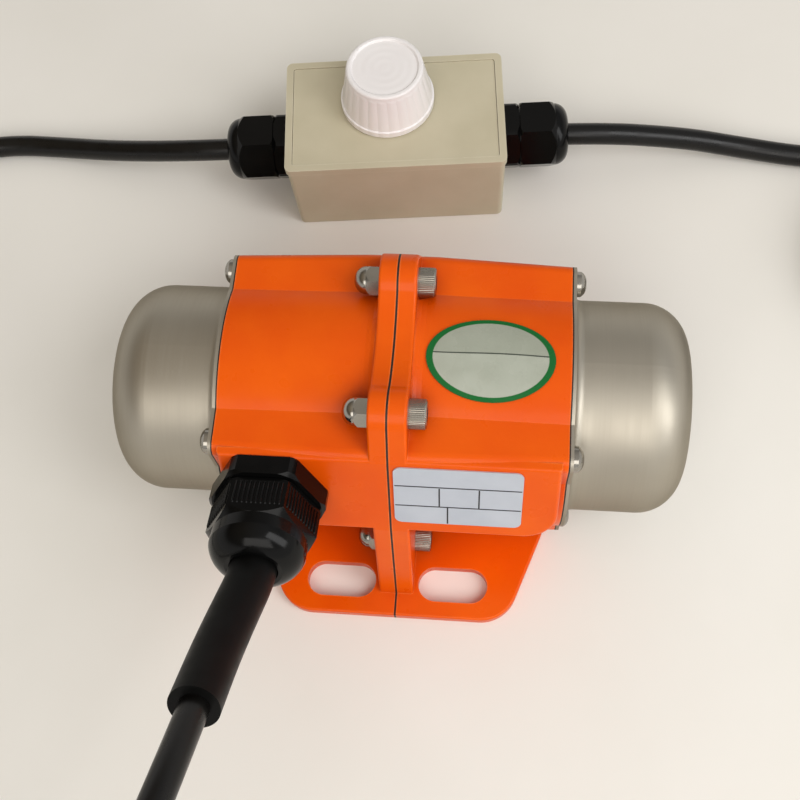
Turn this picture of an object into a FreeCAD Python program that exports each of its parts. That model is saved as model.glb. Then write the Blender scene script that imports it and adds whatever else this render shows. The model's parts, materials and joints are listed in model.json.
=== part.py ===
import FreeCAD, Part
import math
import os
from FreeCAD import Placement, Rotation, Vector

# Vibration motor with eccentric weights at both shaft ends, and the speed controller on its lead.
# Frame: origin midway between the four foot slots, on the mounting plane. +X runs along the shaft,
# -Y towards the sloping cable pad, +Z up. All sizes are in millimetres.

# ---------------------------------------------------------------- fits
LOOSE = 0.3        # gap between pieces that only lie near each other
SEAT = 0.05        # gap on the radius of a piece seated in a bore
PRESS = 0.02       # gap on the radius of a pressed or keyed piece
RUNNING = 0.06     # gap between a ball and its groove

# ---------------------------------------------------------------- housing
SHAFT_HEIGHT = 38.5
HOUSING_HALF = 49.2          # seam to end face
CUP_R = 31.75                # drawn cover over the weights, outside
SEAM_GASKET = 0.6
FLANGE_WIDTH = 5.1           # one half of the bolted centre flange
BARREL_END_R = CUP_R + 5.05
BARREL_SEAM_R = BARREL_END_R + 1.0
FLARE_R = BARREL_SEAM_R + 1.5        # barrel where it runs into the flange
FLARE_LENGTH = 4.5
VALLEY = CUP_R - 12.95       # half width of the barrel between two screw bosses
BOSS_END_REACH = 4.55        # boss flat beyond its screw's axis, at the end face
BOSS_SEAM_REACH = 5.7        # and at the flange, because the casting is drafted
BOSS_CORNER_R = 3.5
BOSS_FLAT = 1.0              # the flat starts this far inside the screw's axis
COVER_SCREW_OFFSET = CUP_R - 4.75      # screw axis from the shaft axis, sideways and upwards
BORE_R = CUP_R - 0.75
END_WALL = 4.0
HUB_R = 20.5
LIP = 1.7                    # end wall that closes the bearing pocket
PEDESTAL_HALF_DEPTH = 30.0
PEDESTAL_INSET = 3.0         # from the end face
SPOT_FACE_R = 4.9

# ---------------------------------------------------------------- centre flange
FLANGE_BOLTS_TOP = (CUP_R - 11.65, BARREL_END_R + 0.9)      # half spacing, height over the shaft
FLANGE_BOLTS_LOW = (CUP_R + 4.75, 9.5 - SHAFT_HEIGHT)
LOBE_R = 7.8
SADDLE_HEIGHT = BARREL_SEAM_R + 2.0  # flange crest over the shaft, midway between the lobes
GUSSET_TOE = 53.5                    # where the flange meets the foot
FLANGE_EDGE_R = 0.8
FLANGE_KINK_R = 3.0                  # hollow corner between a lobe and the saddle

# ---------------------------------------------------------------- sloping pads
PAD_TILT = 21.4                      # degrees, the face's normal above the horizontal
PAD_FOOT = (-BARREL_END_R - 6.7, 3.0)      # lower edge: Y, and height over the shaft
PAD_TOP = COVER_SCREW_OFFSET + 4.5   # upper edge's height over the shaft
PAD_HALF_LENGTH = HOUSING_HALF - 1.6
PAD_CORNER_R = 10.0
PAD_EDGE_R = 1.2
PAD_TOP_DEPTH = 2.331        # wedge behind the face, at its upper edge
PAD_UNDERSIDE = -1.0         # height over the shaft where the underside meets the barrel

# ---------------------------------------------------------------- foot
FOOT_THICKNESS = 4.0
FOOT_HALF_DEPTH = 60.6
FOOT_HALF_WIDTH = HOUSING_HALF - 3.0
FOOT_FRONT_HALF_WIDTH = 34.9
FOOT_SHOULDER = 29.4                 # the sides run straight as far as this from the middle
FOOT_CORNER_R = 12.0
FOOT_SHOULDER_R = 18.0
SLOT_X = 17.8
SLOT_Y = 50.0
SLOT_LENGTH = 22.0
SLOT_WIDTH = 11.0

# ---------------------------------------------------------------- end covers
CUP_WALL = 1.2
CUP_LENGTH = 35.4                    # from the housing's end face
CUP_ROUND = 13.0
CUP_ROOT_R = 2.5
COVER_PLATE = 0.9
COVER_GASKET = 0.4

# ---------------------------------------------------------------- fasteners
M5_R = 2.5
M5_HOLE_R = 2.75
M5_HEAD_R = 4.25
M5_HEAD_HEIGHT = 5.0
M5_SOCKET = 4.0
M5_SOCKET_DEPTH = 2.6
ACORN_ACROSS = 8.0
ACORN_HEX = 4.0
ACORN_HEIGHT = 7.5
M4_R = 2.0
M4_LENGTH = 12.0
M4_HEAD_R = 3.7
M4_HEAD_HEIGHT = 3.0
M4_SOCKET = 2.5
M4_SOCKET_DEPTH = 1.5
SET_SCREW_R = 2.5

# ---------------------------------------------------------------- electric machine
STACK_HALF = HOUSING_HALF - 33.2
STATOR_BORE_R = 17.0
SLOTS = 12
SLOT_TIP_WIDTH = 2.0
SLOT_BODY_WIDTH = 5.0
SLOT_ROOT_R = 26.0
SLOT_SHOULDER_R = 19.4
COIL_END = 9.0
AIR_GAP = 0.4
CAGE_BARS = 14
CAGE_BAR_R = 1.4
CAGE_RING = 4.5
CAGE_RING_R = (9.5, 16.0)
CAGE_PITCH_R = 14.2

# ---------------------------------------------------------------- shaft and bearings
SHAFT_R = 6.0
SHAFT_BODY_R = 7.5
SHAFT_END = 76.0
SHAFT_CHAMFER = 0.8
BEARING_R = 16.0
BEARING_WIDTH = 10.0
BEARING_PITCH_R = 11.0
BALL_R = 2.975
BALLS = 7
INNER_SHOULDER_R = 9.2
OUTER_SHOULDER_R = 13.0
BALL_CAGE = (10.3, 11.7)
BALL_CAGE_HALF = 3.7

# ---------------------------------------------------------------- eccentric weights
WEIGHT_R = CUP_R - 4.25
WEIGHT_WIDTH = 9.0
WEIGHT_OVER_AXIS = 2.0               # the sector's flat lies this far above the shaft's axis
WEIGHT_HUB_R = 11.0
SPACER_R = 8.4
LIP_HOLE_R = 9.0
RING_WIDTH = 1.2
RING_R = 8.6
GROOVE_DEPTH = 0.7

# ---------------------------------------------------------------- cable and its glands
CABLE_R = 3.85
GLAND_X = 15.3 - HOUSING_HALF
GLAND_ALONG_PAD = 16.1               # from the pad's lower edge to the gland's axis
SLEEVE_R = 6.45
# body and nut across the flats, radius to which the body's corners are turned, lengths of hexagon,
# nut and dome, thread, spigot under the nut, and the radius that the seal holds
MOTOR_GLAND = dict(across=29.8, corner_r=16.6, nut_across=26.8, hex=6.2, nut=11.5, dome=9.5,
                   thread_r=11.2, thread=7.5, spigot=7.5, hold_r=SLEEVE_R)
BOX_GLAND = dict(across=21.6, corner_r=12.1, nut_across=21.6, hex=6.0, nut=12.5, dome=4.5,
                 thread_r=9.3, thread=8.0, spigot=5.0, hold_r=CABLE_R)
LOCKNUT_ACROSS = 24.0
LOCKNUT = 3.5

# ---------------------------------------------------------------- controller on the lead
BOX_CENTRE = (-10.8, 108.2)
BOX_YAW = 5.1
BOX = (75.2, 44.6, 34.9)              # outside at the top, and the lid's height
BOX_DRAFT = 0.55
BOX_RIM = 0.4                        # the case's rim stands this far above the lid
BEAD = (0.45, 2.8)                   # raised band round the top of the case: proud, high
BOX_WALL = 2.2
BOX_CORNER_R = 2.0
LID = 2.6
LID_EDGE = 2.0                       # rim of the case round the lid
LEDGE = 1.2                          # the lid rests on this much of the wall
KNOB_AT = (-2.2, 5.3)
KNOB_BASE_R = 16.2
KNOB_TOP_R = 13.15
KNOB_HEIGHT = 17.3
KNOB_WALL = 1.8
POT_R = 8.5
POT_DEPTH = 9.0
BUSHING_R = 3.5
POT_SHAFT_R = 3.0
POT_NUT = (10.0, 2.2)
BOARD = (58.0, 34.0, 1.6)
BOARD_HEIGHT = 8.0
POST_R = 2.5
CAPACITOR = (18.0, 24.0, 13.0)
TRIAC = (10.0, 4.5, 15.0)

# ---------------------------------------------------------------- plug
PLUG = (34.0, 27.0, 15.0)
PLUG_RELIEF = 22.0
PLUG_PIN_R = 2.0
PLUG_PIN = 19.0
PLUG_PIN_SPACING = 19.0
PLUG_AT = (226.2, 2.0)               # where the cable enters its strain relief
PLUG_HEADING = -98.1

# ---------------------------------------------------------------- lead from the motor to the controller
LEAD_START = 17.5                    # along the gland's axis, from the pad
LEAD_BEND = 29.5
LEAD_ROUTE = [
    (-37.3, -86.5, 80.9), (-38.8, -123.5, 112.0), (-45.0, -151.5, 119.5), (-60.0, -177.0, 111.0),
    (-84.0, -193.0, 87.0), (-111.0, -197.0, 57.5), (-139.0, -192.0, 31.0), (-164.0, -178.0, 12.0),
    (-182.0, -154.0, 4.0), (-192.0, -118.0, 4.0), (-192.0, -72.0, 4.0), (-187.0, -22.0, 4.0),
    (-194.0, 24.0, 4.0), (-203.0, 62.0, 4.0), (-196.5, 85.0, 4.0), (-180.0, 102.0, 4.0),
    (-159.4, 110.6, 4.0), (-137.0, 110.0, 4.8), (-114.0, 106.0, 9.5),
]
SLEEVE_LAST_RUN = 9.7                # the sleeve ends this far behind the lead's second bend
# supply lead: the free route, the coil that holds the rest of it, and the tail to the plug
SUPPLY_ROUTE = [(92.0, 118.6, 9.8), (113.0, 118.6, 5.0), (135.0, 115.8, 4.0), (160.0, 114.9, 4.0)]
COIL_CENTRE = (188.0, 72.0)
COIL_PITCH = 7.8                     # between neighbouring turns
COIL_INNER_R = 35.4                  # inner turn's middle
COIL_OUTER_R = COIL_INNER_R + COIL_PITCH
TAIL_ROUTE = [(231.2, 72.0, 11.7), (231.4, 50.0, 10.2), (229.6, 26.0, 8.6)]


# ================================================================ helpers
def at(x, y, z):
    """The placement that only moves."""
    return Placement(Vector(x, y, z), Rotation())


def moved(shape, x, y, z):
    copy = shape.copy()
    copy.translate(Vector(x, y, z))
    return copy


def placed(shape, placement):
    copy = shape.copy()
    copy.Placement = placement.multiply(copy.Placement)
    return copy


def mirrored(shape):
    """The same piece on the other side of the seam."""
    return shape.mirror(Vector(0, 0, 0), Vector(1, 0, 0))


def fused(first, *others):
    return first.fuse(list(others)).removeSplitter()


def along_x(radius, start, end, y=0.0, z=0.0):
    return Part.makeCylinder(radius, end - start, Vector(start, y, z), Vector(1, 0, 0))


def box(x0, x1, y0, y1, z0, z1):
    return Part.makeBox(x1 - x0, y1 - y0, z1 - z0, Vector(x0, y0, z0))


def path(to_space, start, steps):
    """Edges through the steps: a point ends a line, a pair (through, end) an arc."""
    edges = []
    here = start
    for step in steps:
        if isinstance(step[0], tuple):
            through, end = step
            edges.append(Part.Arc(to_space(*here), to_space(*through), to_space(*end)).toShape())
        else:
            end = step
            edges.append(Part.LineSegment(to_space(*here), to_space(*end)).toShape())
        here = end
    return edges


def closed_wire(to_space, start, steps):
    return Part.Wire(path(to_space, start, list(steps) + [start]))


def cross_plane(x):
    """Maps (across, up) to the plane that stands across the shaft at x."""
    return lambda y, z: Vector(x, y, z)


def flat_plane(z):
    return lambda x, y: Vector(x, y, z)


def rounded(corners):
    """Start and steps of a polygon whose corners (a, b, radius) are rounded."""
    steps = []
    count = len(corners)
    for k, (a, b, radius) in enumerate(corners):
        corner = Vector(a, b, 0)
        if radius == 0:
            steps.append((a, b))
            continue
        before = Vector(*corners[k - 1][:2], 0) - corner
        after = Vector(*corners[(k + 1) % count][:2], 0) - corner
        before.normalize()
        after.normalize()
        half = before.getAngle(after) / 2
        middle = before + after
        middle.normalize()
        centre = corner + middle * (radius / math.sin(half))
        tangent = radius / math.tan(half)
        enter = corner + before * tangent
        leave = corner + after * tangent
        through = centre - middle * radius
        steps.append((enter.x, enter.y))
        steps.append(((through.x, through.y), (leave.x, leave.y)))
    first = steps[0]
    return first, steps[1:]


def prism(corners, to_space, depth):
    """Rounded polygon in a plane, pulled along the vector depth."""
    start, steps = rounded(corners)
    return Part.Face(closed_wire(to_space, start, steps)).extrude(depth)


def turned(start, steps):
    """Closed outline of (x, radius), turned about the X axis."""
    wire = closed_wire(lambda x, r: Vector(x, 0, r), start, steps)
    return Part.Face(wire).revolve(Vector(0, 0, 0), Vector(1, 0, 0), 360)


def ring(inner, outer, start, end):
    return turned((start, inner), [(end, inner), (end, outer), (start, outer)])


def hexagon(across, start, end, turn=0.0):
    """Six-sided bar along X with a corner towards +Y, turned about X by degrees."""
    radius = across / math.sqrt(3)
    corners = []
    for k in range(6):
        angle = math.radians(60 * k + turn)
        corners.append((radius * math.cos(angle), radius * math.sin(angle), 0))
    return prism(corners, cross_plane(start), Vector(end - start, 0, 0))


def around_shaft(shape, count):
    """Copies of a shape, evenly spaced about the X axis."""
    copies = []
    for k in range(count):
        copies.append(placed(shape, Placement(Vector(0, 0, 0), Rotation(Vector(1, 0, 0), 360.0 * k / count))))
    return copies


def on_shaft(shape):
    return moved(shape, 0, 0, SHAFT_HEIGHT)


def four_corners(offset):
    return [(sy * offset, sz * offset) for sy in (-1, 1) for sz in (-1, 1)]


def flange_bolts():
    """(Y, Z) of the four bolts in the centre flange."""
    places = []
    for half_spacing, height in (FLANGE_BOLTS_TOP, FLANGE_BOLTS_LOW):
        for side in (-1, 1):
            places.append((side * half_spacing, SHAFT_HEIGHT + height))
    return places


# ================================================================ housing
def body_outline(x, barrel_r, boss_reach):
    """Barrel with four screw bosses, as a closed wire across the shaft."""
    reach = COVER_SCREW_OFFSET + boss_reach
    flat = COVER_SCREW_OFFSET - BOSS_FLAT
    side = math.sqrt(barrel_r ** 2 - VALLEY ** 2)
    inset = BOSS_CORNER_R * (1 - math.sqrt(0.5))
    quadrant = [
        (reach, flat),
        (reach, reach - BOSS_CORNER_R),
        ((reach - inset, reach - inset), (reach - BOSS_CORNER_R, reach)),
        (flat, reach),
        (VALLEY, side),
        ((0, barrel_r), (-VALLEY, side)),
    ]

    def quarter_turned(point, quarter):
        y, z = point
        for _ in range(quarter):
            y, z = -z, y
        return (y, z)

    steps = []
    for quarter in range(4):
        for step in quadrant:
            if isinstance(step[0], tuple):
                steps.append(tuple(quarter_turned(p, quarter) for p in step))
            else:
                steps.append(quarter_turned(step, quarter))
    wire = Part.Wire(path(cross_plane(x), (side, VALLEY), steps))
    wire.translate(Vector(0, 0, SHAFT_HEIGHT))
    return wire


def end_plate(x, thickness):
    """Plate with the outline of the housing's end."""
    outline = body_outline(x, BARREL_END_R, BOSS_END_REACH)
    return Part.Face(outline).extrude(Vector(thickness, 0, 0))


def barrel():
    """Half of the barrel: drafted, and flared where it runs into the flange."""
    flange_face = SEAM_GASKET / 2 + FLANGE_WIDTH
    sections = [body_outline(HOUSING_HALF, BARREL_END_R, BOSS_END_REACH)]
    for share in (1.0, 0.62, 0.3, 0.08):
        swell = 1 - math.sqrt(1 - (1 - share) ** 2)
        sections.append(body_outline(flange_face + share * FLARE_LENGTH,
                                     BARREL_SEAM_R + swell * (FLARE_R - BARREL_SEAM_R),
                                     BOSS_SEAM_REACH))
    sections.append(body_outline(SEAM_GASKET / 2, FLARE_R, BOSS_SEAM_REACH))
    return Part.makeLoft(sections, True, True)


def pad_normal():
    tilt = math.radians(PAD_TILT)
    return Vector(0, -math.cos(tilt), math.sin(tilt))


def pad_point(up, x=0.0):
    """Point on the sloping pad, this far up from its lower edge."""
    tilt = math.radians(PAD_TILT)
    return Vector(x, PAD_FOOT[0] + up * math.sin(tilt), SHAFT_HEIGHT + PAD_FOOT[1] + up * math.cos(tilt))


def pad_length():
    return (PAD_TOP - PAD_FOOT[1]) / math.cos(math.radians(PAD_TILT))


def pad():
    """Wedge in front of the barrel that carries the gland or the rating plate."""
    top = pad_point(pad_length())
    foot = pad_point(0)
    under = (top.y + PAD_TOP_DEPTH, SHAFT_HEIGHT + PAD_UNDERSIDE)
    corners = [(foot.y, foot.z, 0), (top.y, top.z, 0), (under[0], top.z, 0), (under[0], under[1], 0)]
    start = SEAM_GASKET / 2
    wedge = prism(corners, cross_plane(start), Vector(PAD_HALF_LENGTH - start, 0, 0))

    def lies_on(edge, test):
        return all(test(v.Point) for v in edge.Vertexes)

    def at_end(p):
        return abs(p.x - PAD_HALF_LENGTH) < 1e-4

    below = pad_point(0)
    slope = Vector(0, under[0] - below.y, under[1] - below.z)
    across = slope.cross(Vector(1, 0, 0))
    across.normalize()
    corner = [e for e in wedge.Edges
              if lies_on(e, lambda p: at_end(p) and abs((p - below).dot(across)) < 1e-4)]
    wedge = wedge.makeFillet(PAD_CORNER_R, corner)
    normal = pad_normal()
    rim = [e for e in wedge.Edges
           if lies_on(e, lambda p: abs((p - below).dot(normal)) < 1e-4)
           and not lies_on(e, lambda p: abs(p.x - start) < 1e-4)]
    return wedge.makeFillet(PAD_EDGE_R, rim)


def tangent_point(from_point, centre, radius, side):
    """Where the line from a point touches a circle, on the side given as +1 or -1."""
    away = Vector(from_point[0] - centre[0], from_point[1] - centre[1], 0)
    turn = side * math.acos(radius / away.Length)
    direction = math.atan2(away.y, away.x) + turn
    return (centre[0] + radius * math.cos(direction), centre[1] + radius * math.sin(direction))


def flange_outline(x):
    """Centre flange across the shaft: foot, pad line, two lobes and the saddle between them."""
    lobe_y, lobe_z = FLANGE_BOLTS_TOP
    lobe_z += SHAFT_HEIGHT
    saddle = SHAFT_HEIGHT + SADDLE_HEIGHT
    shoulder = pad_point(pad_length() - 1.0)
    heel = pad_point(0)
    touch = tangent_point((shoulder.y, shoulder.z), (-lobe_y, lobe_z), LOBE_R, -1)
    diagonal = LOBE_R * math.sqrt(0.5)
    kink = (-lobe_y + diagonal, lobe_z + diagonal)
    crown = (-lobe_y - 0.3 * LOBE_R, lobe_z + LOBE_R * math.sqrt(1 - 0.3 ** 2))

    def rear(point):
        return (-point[0], point[1])

    start = (-GUSSET_TOE, 0.0)
    steps = [
        (-GUSSET_TOE, FOOT_THICKNESS), (heel.y, heel.z), (shoulder.y, shoulder.z), touch,
        (crown, kink), ((0.0, saddle), rear(kink)), (rear(crown), rear(touch)),
        rear((shoulder.y, shoulder.z)), rear((heel.y, heel.z)), (GUSSET_TOE, FOOT_THICKNESS),
        (GUSSET_TOE, 0.0),
    ]
    return closed_wire(cross_plane(x), start, steps)


def flange():
    start = SEAM_GASKET / 2
    face = start + FLANGE_WIDTH
    plate = Part.Face(flange_outline(start)).extrude(Vector(FLANGE_WIDTH, 0, 0))
    kink_z = SHAFT_HEIGHT + FLANGE_BOLTS_TOP[1]
    kinks = [e for e in plate.Edges
             if all(v.Z > kink_z and abs(v.Y) < FLANGE_BOLTS_TOP[0] for v in e.Vertexes)
             and abs(e.tangentAt(e.FirstParameter).x) > 0.9]
    plate = plate.makeFillet(FLANGE_KINK_R, kinks)
    edges = [e for e in plate.Edges
             if all(abs(v.X - face) < 1e-4 for v in e.Vertexes)
             and max(v.Z for v in e.Vertexes) > 2 * FOOT_THICKNESS]
    return plate.makeFillet(FLANGE_EDGE_R, edges)


def foot():
    """One half of the foot plate, front and rear, with its two slots."""
    start = SEAM_GASKET / 2
    corners = []
    for side in (-1, 1):
        outer = [(FOOT_FRONT_HALF_WIDTH, side * FOOT_HALF_DEPTH, FOOT_CORNER_R),
                 (FOOT_HALF_WIDTH, side * FOOT_SHOULDER, FOOT_SHOULDER_R)]
        corners += outer if side < 0 else outer[::-1]
    corners = [(start, -FOOT_HALF_DEPTH, 0)] + corners + [(start, FOOT_HALF_DEPTH, 0)]
    plate = prism(corners, flat_plane(0), Vector(0, 0, FOOT_THICKNESS))
    top = [e for e in plate.Edges
           if all(abs(v.Z - FOOT_THICKNESS) < 1e-4 for v in e.Vertexes)
           and not all(abs(v.X - start) < 1e-4 for v in e.Vertexes)]
    return plate.makeFillet(FLANGE_EDGE_R, top)


def slot(side_y):
    """Cutter for one foot slot."""
    half = (SLOT_LENGTH - SLOT_WIDTH) / 2
    radius = SLOT_WIDTH / 2
    y = side_y * SLOT_Y
    start = (SLOT_X - half, y - radius)
    steps = [(SLOT_X + half, y - radius),
             ((SLOT_X + half + radius, y), (SLOT_X + half, y + radius)),
             (SLOT_X - half, y + radius)]
    edges = path(flat_plane(-1), start, steps)
    edges += path(flat_plane(-1), steps[-1], [((SLOT_X - half - radius, y), start)])
    return Part.Face(Part.Wire(edges)).extrude(Vector(0, 0, FOOT_THICKNESS + 2))


def pedestal():
    return box(SEAM_GASKET / 2, HOUSING_HALF - PEDESTAL_INSET, -PEDESTAL_HALF_DEPTH, PEDESTAL_HALF_DEPTH,
               0, SHAFT_HEIGHT)


def bearing_end():
    """X of the bearing's outer side."""
    return HOUSING_HALF - LIP


def housing_half():
    """Right half of the casting."""
    solid = fused(barrel(), flange(), pad(), foot(), pedestal())
    pocket = bearing_end() - BEARING_WIDTH
    cuts = [
        on_shaft(along_x(BORE_R, -1, pocket)),
        on_shaft(ring(HUB_R, BORE_R, pocket - 1, HOUSING_HALF - END_WALL)),
        on_shaft(along_x(BEARING_R, pocket - 1, bearing_end())),
        on_shaft(along_x(LIP_HOLE_R, pocket, HOUSING_HALF + 1)),
        slot(-1), slot(1),
        box(-1, HOUSING_HALF + 1, -FOOT_HALF_DEPTH - 1, FOOT_HALF_DEPTH + 1, SHAFT_HEIGHT - 2 * FLARE_R, 0),
    ]
    face = SEAM_GASKET / 2 + FLANGE_WIDTH
    for y, z in flange_bolts():
        cuts.append(along_x(M5_HOLE_R, -1, face + 1, y, z))
        cuts.append(along_x(SPOT_FACE_R, face, face + FLARE_LENGTH + 1, y, z))
    for y, z in four_corners(COVER_SCREW_OFFSET):
        cuts.append(along_x(M4_R + SEAT, HOUSING_HALF - M4_LENGTH, HOUSING_HALF + 1, y, SHAFT_HEIGHT + z))
    return solid.cut(cuts).removeSplitter()


def gland_placement():
    """Puts a gland made along +X onto the left pad, a corner of its hexagon sideways."""
    normal = pad_normal()
    sideways = Vector(1, 0, 0)
    up = normal.cross(sideways)
    matrix = FreeCAD.Matrix(normal.x, sideways.x, up.x, 0,
                            normal.y, sideways.y, up.y, 0,
                            normal.z, sideways.z, up.z, 0,
                            0, 0, 0, 1)
    return Placement(pad_point(GLAND_ALONG_PAD, GLAND_X), Rotation(matrix))


def left_housing():
    hole = along_x(MOTOR_GLAND["thread_r"] + SEAT, -MOTOR_GLAND["thread"] - 6, 4)
    return mirrored(housing_half()).cut(placed(hole, gland_placement()))


def seam_gasket():
    outline = Part.Face(flange_outline(-SEAM_GASKET / 2)).extrude(Vector(SEAM_GASKET, 0, 0))
    base = box(-SEAM_GASKET / 2, SEAM_GASKET / 2, -FOOT_HALF_DEPTH, FOOT_HALF_DEPTH, 0, FOOT_THICKNESS)
    cuts = [on_shaft(along_x(BORE_R, -1, 1))]
    cuts += [along_x(M5_HOLE_R, -1, 1, y, z) for y, z in flange_bolts()]
    return fused(outline, base).cut(cuts)


# ================================================================ end covers
def cover_plate_start():
    return HOUSING_HALF + COVER_GASKET


def cup():
    x0 = cover_plate_start()
    root = x0 + COVER_PLATE
    end = HOUSING_HALF + CUP_LENGTH
    inner = CUP_R - CUP_WALL
    diagonal = math.sqrt(0.5)
    bend = CUP_ROUND - CUP_WALL
    outer_bend = (end - CUP_ROUND + CUP_ROUND * diagonal, CUP_R - CUP_ROUND + CUP_ROUND * diagonal)
    inner_bend = (end - CUP_ROUND + bend * diagonal, CUP_R - CUP_ROUND + bend * diagonal)
    root_bend = (root + CUP_ROOT_R * (1 - diagonal), CUP_R + CUP_ROOT_R * (1 - diagonal))
    steps = [
        (x0, CUP_R + CUP_ROOT_R), (root, CUP_R + CUP_ROOT_R), (root_bend, (root + CUP_ROOT_R, CUP_R)),
        (end - CUP_ROUND, CUP_R), (outer_bend, (end, CUP_R - CUP_ROUND)), (end, 0),
        (end - CUP_WALL, 0), (end - CUP_WALL, CUP_R - CUP_ROUND), (inner_bend, (end - CUP_ROUND, inner)),
    ]
    return turned((x0, inner), steps)


def end_cover():
    x0 = cover_plate_start()
    plate = end_plate(x0, COVER_PLATE).cut(on_shaft(along_x(CUP_R, x0 - 1, x0 + COVER_PLATE + 1)))
    holes = [along_x(M4_R + LOOSE, x0 - 1, x0 + COVER_PLATE + 1, y, SHAFT_HEIGHT + z)
             for y, z in four_corners(COVER_SCREW_OFFSET)]
    return fused(plate, on_shaft(cup())).cut(holes)


def cover_gasket():
    x0 = HOUSING_HALF
    cuts = [on_shaft(along_x(CUP_R - CUP_WALL, x0 - 1, x0 + COVER_GASKET + 1))]
    cuts += [along_x(M4_R + LOOSE, x0 - 1, x0 + COVER_GASKET + 1, y, SHAFT_HEIGHT + z)
             for y, z in four_corners(COVER_SCREW_OFFSET)]
    return end_plate(x0, COVER_GASKET).cut(cuts)


def cover_screw():
    """Button-head screw along +X, its head's seat at x = 0."""
    top = M4_HEAD_HEIGHT
    side = 0.45 * top
    bend = (0.82 * top, 0.72 * M4_HEAD_R)
    length = M4_LENGTH + COVER_GASKET + COVER_PLATE - LOOSE
    head = turned((0, 0), [(0, M4_HEAD_R), (side, M4_HEAD_R), (bend, (top, 0.3 * M4_HEAD_R)), (top, 0)])
    socket = hexagon(M4_SOCKET, top - M4_SOCKET_DEPTH, top + 1)
    return fused(head, along_x(M4_R, -length, 0)).cut(socket)


def cover_screws():
    seat = cover_plate_start() + COVER_PLATE
    return Part.makeCompound([moved(cover_screw(), seat, y, SHAFT_HEIGHT + z)
                              for y, z in four_corners(COVER_SCREW_OFFSET)])


# ================================================================ flange fasteners
def cap_screw():
    """Socket-head screw along -X, its head's seat at x = 0 and the head towards +X."""
    grip = SEAM_GASKET + 2 * FLANGE_WIDTH
    head = turned((0, 0), [(0, M5_HEAD_R), (0.9 * M5_HEAD_HEIGHT, M5_HEAD_R),
                           (M5_HEAD_HEIGHT, 0.9 * M5_HEAD_R), (M5_HEAD_HEIGHT, 0)])
    socket = hexagon(M5_SOCKET, M5_HEAD_HEIGHT - M5_SOCKET_DEPTH, M5_HEAD_HEIGHT + 1)
    return fused(head, along_x(M5_R, -grip - ACORN_HEX, 0)).cut(socket)


def acorn_nut():
    """Domed nut along -X, its seat at x = 0."""
    dome_r = ACORN_ACROSS / 2
    flat = hexagon(ACORN_ACROSS, -ACORN_HEX, 0)
    bend = (-ACORN_HEX - 0.75 * (ACORN_HEIGHT - ACORN_HEX), 0.72 * dome_r)
    dome = turned((-ACORN_HEX, 0), [(-ACORN_HEX, dome_r), (bend, (-ACORN_HEIGHT, 0))])
    corners = turned((-ACORN_HEX, 0), [(0, 0), (0, 1.16 * dome_r), (-0.7 * ACORN_HEX, 1.16 * dome_r),
                                       (-ACORN_HEX, dome_r)])
    thread = along_x(M5_R + SEAT, -ACORN_HEX - LOOSE, 1)
    return fused(flat.common(corners), dome).cut(thread)


def at_flange_bolts(shape, x):
    return Part.makeCompound([moved(shape, x, y, z) for y, z in flange_bolts()])


# ================================================================ electric machine
def slot_cutter(clearance, reach):
    """One stator slot pointing up, or with a clearance the winding's side that fills it."""
    body = SLOT_BODY_WIDTH / 2 - clearance
    inner, outer = SLOT_SHOULDER_R + clearance, SLOT_ROOT_R - clearance
    return box(-reach, reach, -body, body, inner, outer)


def stator_core():
    core = ring(STATOR_BORE_R, BORE_R - SEAT, -STACK_HALF, STACK_HALF)
    mouth = box(-STACK_HALF - 1, STACK_HALF + 1, -SLOT_TIP_WIDTH / 2, SLOT_TIP_WIDTH / 2,
                STATOR_BORE_R - 2, SLOT_SHOULDER_R + 1)
    cutter = slot_cutter(0, STACK_HALF + 1).fuse(mouth)
    return on_shaft(core.cut(around_shaft(cutter, SLOTS)))


def stator_windings():
    sides = around_shaft(slot_cutter(LOOSE, STACK_HALF + 1), SLOTS)
    near = STACK_HALF + LOOSE
    far = near + COIL_END
    inner, outer = SLOT_SHOULDER_R + LOOSE, SLOT_ROOT_R + 1
    round_r = 2.5
    corners = [(near, inner, 0), (far, inner, round_r), (far, outer, round_r), (near, outer, 0)]
    start, steps = rounded(corners)
    coil_end = turned(start, steps)
    return on_shaft(fused(coil_end, mirrored(coil_end), *sides))


def rotor_core():
    core = ring(SHAFT_BODY_R + PRESS, STATOR_BORE_R - AIR_GAP, -STACK_HALF, STACK_HALF)
    bar = along_x(CAGE_BAR_R + PRESS, -STACK_HALF - 1, STACK_HALF + 1, 0, CAGE_PITCH_R)
    return on_shaft(core.cut(around_shaft(bar, CAGE_BARS)))


def rotor_cage():
    bar = along_x(CAGE_BAR_R, -STACK_HALF - 1, STACK_HALF + 1, 0, CAGE_PITCH_R)
    start = STACK_HALF + PRESS
    end_ring = ring(*CAGE_RING_R, start, start + CAGE_RING)
    return on_shaft(fused(end_ring, mirrored(end_ring), *around_shaft(bar, CAGE_BARS)))


# ================================================================ shaft and bearings
def ring_groove():
    """X of the groove for the retaining ring, just outside the weights."""
    return weight_start() + 2 * WEIGHT_WIDTH + 2 * LOOSE


def weight_start():
    """X where the fixed weight's disc starts."""
    return cover_plate_start() + COVER_PLATE + 1.3


def shaft():
    shoulder = bearing_end() - BEARING_WIDTH
    groove = ring_groove()
    low = SHAFT_R - GROOVE_DEPTH
    half = [
        (0, SHAFT_BODY_R), (shoulder, SHAFT_BODY_R), (shoulder, SHAFT_R), (groove, SHAFT_R),
        (groove, low), (groove + RING_WIDTH + PRESS, low), (groove + RING_WIDTH + PRESS, SHAFT_R),
        (SHAFT_END - SHAFT_CHAMFER, SHAFT_R), (SHAFT_END, SHAFT_R - SHAFT_CHAMFER), (SHAFT_END, 0),
    ]
    right = turned((0, 0), half)
    return on_shaft(fused(right, mirrored(right)))


def bearing_middle():
    return bearing_end() - BEARING_WIDTH / 2


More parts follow.
